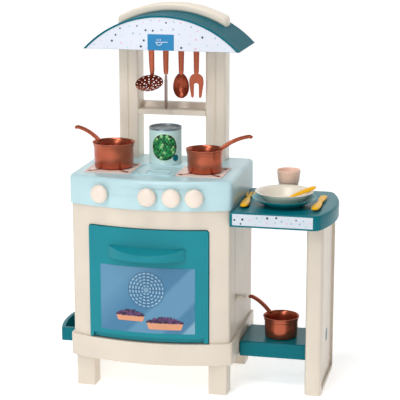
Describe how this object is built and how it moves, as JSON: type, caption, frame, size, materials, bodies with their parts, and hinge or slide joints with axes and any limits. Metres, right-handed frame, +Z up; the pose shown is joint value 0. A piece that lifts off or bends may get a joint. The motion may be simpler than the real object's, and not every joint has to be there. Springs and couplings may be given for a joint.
{
  "type": "toy kitchen",
  "caption": "Free-standing play kitchen: bowed oven cabinet with drop-down door, worktop with knobs and hobs, arched hood on posts with hanging utensils, side table, pans and tableware.",
  "frame": {"origin": "centre of the whole object's footprint, on the floor", "axes": "+Z up, -Y towards the child at the front, +X towards the side table"},
  "size_m": [0.672, 0.367, 0.88],
  "materials": {
    "cream_plastic": "moulded, satin",
    "blue_plastic": "moulded, glossy",
    "teal_plastic": "moulded, satin",
    "dark_teal_plastic": "moulded, glossy",
    "copper_plastic": "metallic copper, satin",
    "knob_plastic": "moulded, satin",
    "clip_plastic": "moulded, matt",
    "hob_print": "printed, matt",
    "window_print": "printed film, glossy",
    "dotted_print": "printed film, satin",
    "screw_steel": "zinc plated",
    "pin_steel": "bright",
    "can_print": "printed label, satin",
    "can_lid_grey": "metallic grey, satin",
    "peach_plastic": "moulded, satin",
    "yellow_plastic": "moulded, glossy"
  },
  "bodies": {
    "kitchen": {"plinth": "cream_plastic", "leg_front_left": "cream_plastic", "leg_front_right": "cream_plastic", "leg_rear_left": "cream_plastic", "leg_rear_right": "cream_plastic", "front_panel": "cream_plastic", "side_panel_left": "cream_plastic", "side_panel_right": "cream_plastic", "back_panel": "cream_plastic", "post_left": "cream_plastic", "post_right": "cream_plastic", "crossbar": "cream_plastic", "top_arch": "cream_plastic", "utensil_rail": "cream_plastic", "table_leg_panel": "cream_plastic", "panel_screws": "screw_steel", "crossbar_screws": "screw_steel", "hinge_pin_left": "pin_steel", "hinge_pin_right": "pin_steel", "worktop": "blue_plastic", "hob_plate_left": "hob_print", "hob_plate_right": "hob_print", "hood": "teal_plastic", "hood_sticker": "dotted_print", "table_top": "dark_teal_plastic", "table_sticker": "dotted_print", "lower_shelf": "dark_teal_plastic", "side_caddy": "dark_teal_plastic"},
    "oven_door": {"oven_door": "teal_plastic", "door_pull": "teal_plastic", "door_window_sticker": "window_print"},
    "knob_1": {"knob_1": "knob_plastic", "knob_clip_1": "clip_plastic"},
    "knob_2": {"knob_2": "knob_plastic", "knob_clip_2": "clip_plastic"},
    "knob_3": {"knob_3": "knob_plastic", "knob_clip_3": "clip_plastic"},
    "knob_4": {"knob_4": "knob_plastic", "knob_clip_4": "clip_plastic"},
    "skimmer": {"skimmer": "copper_plastic"},
    "palette_knife": {"palette_knife": "copper_plastic"},
    "serving_spoon": {"serving_spoon": "copper_plastic"},
    "carving_fork": {"carving_fork": "copper_plastic"},
    "saucepan_left": {"saucepan_left": "copper_plastic"},
    "saucepan_right": {"saucepan_right": "copper_plastic"},
    "saucepan_small": {"saucepan_small": "copper_plastic"},
    "can": {"can_body": "can_print", "can_lid": "can_lid_grey"},
    "dinner_plate": {"dinner_plate": "dark_teal_plastic"},
    "cup": {"cup": "peach_plastic"},
    "fork": {"fork": "yellow_plastic"},
    "knife": {"knife": "yellow_plastic"},
    "bowl": {"bowl": "cream_plastic"},
    "spoon": {"spoon": "yellow_plastic"}
  },
  "joints": [
    {"name": "door_hinge", "type": "hinge", "parent": "kitchen", "child": "oven_door", "pos_m": [-0.078, -0.1395, 0.1425], "axis": [1, 0, 0], "range_deg": [0, 90]},
    {"name": "knob_1_turn", "type": "hinge", "parent": "kitchen", "child": "knob_1", "pos_m": [-0.185, -0.14167, 0.472], "axis": [-0.2184, -0.9759, 0], "continuous": true},
    {"name": "knob_2_turn", "type": "hinge", "parent": "kitchen", "child": "knob_2", "pos_m": [-0.073, -0.15347, 0.472], "axis": [0.0102, -0.9999, 0], "continuous": true},
    {"name": "knob_3_turn", "type": "hinge", "parent": "kitchen", "child": "knob_3", "pos_m": [-0.019, -0.14994, 0.472], "axis": [0.1204, -0.9927, 0], "continuous": true},
    {"name": "knob_4_turn", "type": "hinge", "parent": "kitchen", "child": "knob_4", "pos_m": [0.031, -0.14122, 0.472], "axis": [0.2224, -0.9749, 0], "continuous": true},
    {"name": "skimmer_swing", "type": "hinge", "parent": "kitchen", "child": "skimmer", "pos_m": [-0.123, 0.0785, 0.806], "axis": [1, 0, 0], "range_deg": [-25, 15]},
    {"name": "palette_knife_swing", "type": "hinge", "parent": "kitchen", "child": "palette_knife", "pos_m": [-0.087, 0.0785, 0.806], "axis": [1, 0, 0], "range_deg": [-25, 15]},
    {"name": "serving_spoon_swing", "type": "hinge", "parent": "kitchen", "child": "serving_spoon", "pos_m": [-0.05, 0.0785, 0.806], "axis": [1, 0, 0], "range_deg": [-25, 15]},
    {"name": "carving_fork_swing", "type": "hinge", "parent": "kitchen", "child": "carving_fork", "pos_m": [-0.0135, 0.0785, 0.806], "axis": [1, 0, 0], "range_deg": [-25, 15]},
    {"name": "saucepan_left_lift", "type": "slide", "parent": "kitchen", "child": "saucepan_left", "axis": [0, 0, 1], "range_m": [0, 0.09]},
    {"name": "saucepan_right_lift", "type": "slide", "parent": "kitchen", "child": "saucepan_right", "axis": [0, 0, 1], "range_m": [0, 0.09]},
    {"name": "saucepan_small_lift", "type": "slide", "parent": "kitchen", "child": "saucepan_small", "axis": [0, 0, 1], "range_m": [0, 0.14]},
    {"name": "can_lift", "type": "slide", "parent": "kitchen", "child": "can", "axis": [0, 0, 1], "range_m": [0, 0.03]},
    {"name": "dinner_plate_lift", "type": "slide", "parent": "kitchen", "child": "dinner_plate", "axis": [0, 0, 1], "range_m": [0, 0.12]},
    {"name": "cup_lift", "type": "slide", "parent": "kitchen", "child": "cup", "axis": [0, 0, 1], "range_m": [0, 0.15]},
    {"name": "fork_lift", "type": "slide", "parent": "kitchen", "child": "fork", "axis": [0, 0, 1], "range_m": [0, 0.1]},
    {"name": "knife_lift", "type": "slide", "parent": "kitchen", "child": "knife", "axis": [0.7071, 0, 0.7071], "range_m": [0, 0.1]},
    {"name": "bowl_lift", "type": "slide", "parent": "dinner_plate", "child": "bowl", "axis": [0, 0, 1], "range_m": [0, 0.1]},
    {"name": "spoon_lift", "type": "slide", "parent": "bowl", "child": "spoon", "axis": [0, 0, 1], "range_m": [0, 0.08]}
  ]
}
